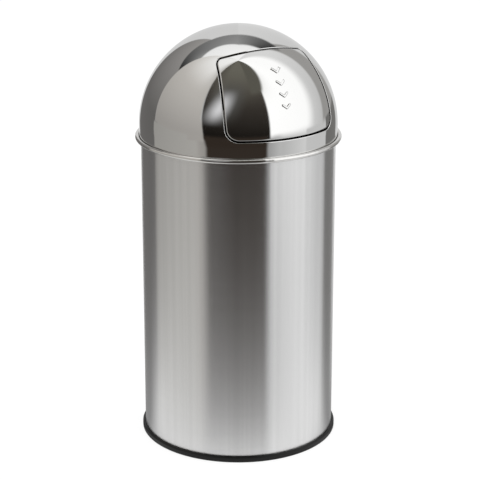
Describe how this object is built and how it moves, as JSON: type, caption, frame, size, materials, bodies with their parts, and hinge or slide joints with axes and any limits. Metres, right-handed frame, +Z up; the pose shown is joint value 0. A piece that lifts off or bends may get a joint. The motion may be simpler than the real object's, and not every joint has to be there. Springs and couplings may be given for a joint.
{
  "type": "dome top waste receptacle",
  "caption": "Round floor bin with a lift-off dome head, a sprung push flap and a lift-out liner bucket with a bail.",
  "frame": {"origin": "middle of the footprint, on the floor", "axes": "+Z up along the body's axis, -Y towards the flap, +X to the right seen from the flap's side"},
  "size_m": [0.36, 0.3599, 0.74],
  "materials": {
    "brushed_stainless": "satin, brushed round the body",
    "polished_stainless": "mirror polished",
    "pressed_steel": "mill finish, pressed",
    "ground_steel": "ground bright",
    "spring_steel": "drawn wire",
    "galvanised_steel": "hot-dip galvanised, spangled",
    "black_plastic": "moulded, satin",
    "buffer_rubber": "matt"
  },
  "bodies": {
    "bin": {"body_shell": "brushed_stainless", "bottom_plate": "pressed_steel", "base_ring": "black_plastic"},
    "dome": {"dome_shell": "polished_stainless", "dome_collar": "pressed_steel", "hinge_bracket_left": "pressed_steel", "hinge_bracket_right": "pressed_steel", "hinge_rod": "ground_steel", "rod_clips": "spring_steel", "return_spring_left": "spring_steel", "return_spring_right": "spring_steel"},
    "flap": {"flap_panel": "polished_stainless", "hinge_arm_left": "pressed_steel", "hinge_arm_right": "pressed_steel", "stop_lug_left": "pressed_steel", "stop_lug_right": "pressed_steel", "stop_buffer_left": "buffer_rubber", "stop_buffer_right": "buffer_rubber"},
    "liner": {"liner_wall": "galvanised_steel", "liner_bottom": "galvanised_steel", "bail_ear_left": "galvanised_steel", "bail_ear_right": "galvanised_steel", "ear_rivets": "ground_steel"},
    "bail": {"bail_wire": "galvanised_steel"}
  },
  "joints": [
    {"name": "dome_lift", "type": "slide", "parent": "bin", "child": "dome", "axis": [0, 0, 1], "range_m": [0, 0.84]},
    {"name": "flap_swing", "type": "hinge", "parent": "dome", "child": "flap", "pos_m": [0, -0.05713, 0.70178], "axis": [1, 0, 0], "range_deg": [0, 55], "stiffness_Nm_per_rad": 0.35, "springref_deg": -57.3, "deforming": ["return_spring_left", "return_spring_right"]},
    {"name": "liner_lift", "type": "slide", "parent": "bin", "child": "liner", "axis": [0, 0, 1], "range_m": [0, 0.56]},
    {"name": "bail_swing", "type": "hinge", "parent": "liner", "child": "bail", "pos_m": [0, 0, 0.5183], "axis": [1, 0, 0], "range_deg": [0, 90]}
  ],
  "couplings": [
    {"joint": "liner_lift", "follows": "dome_lift", "ratio": 0.66}
  ]
}
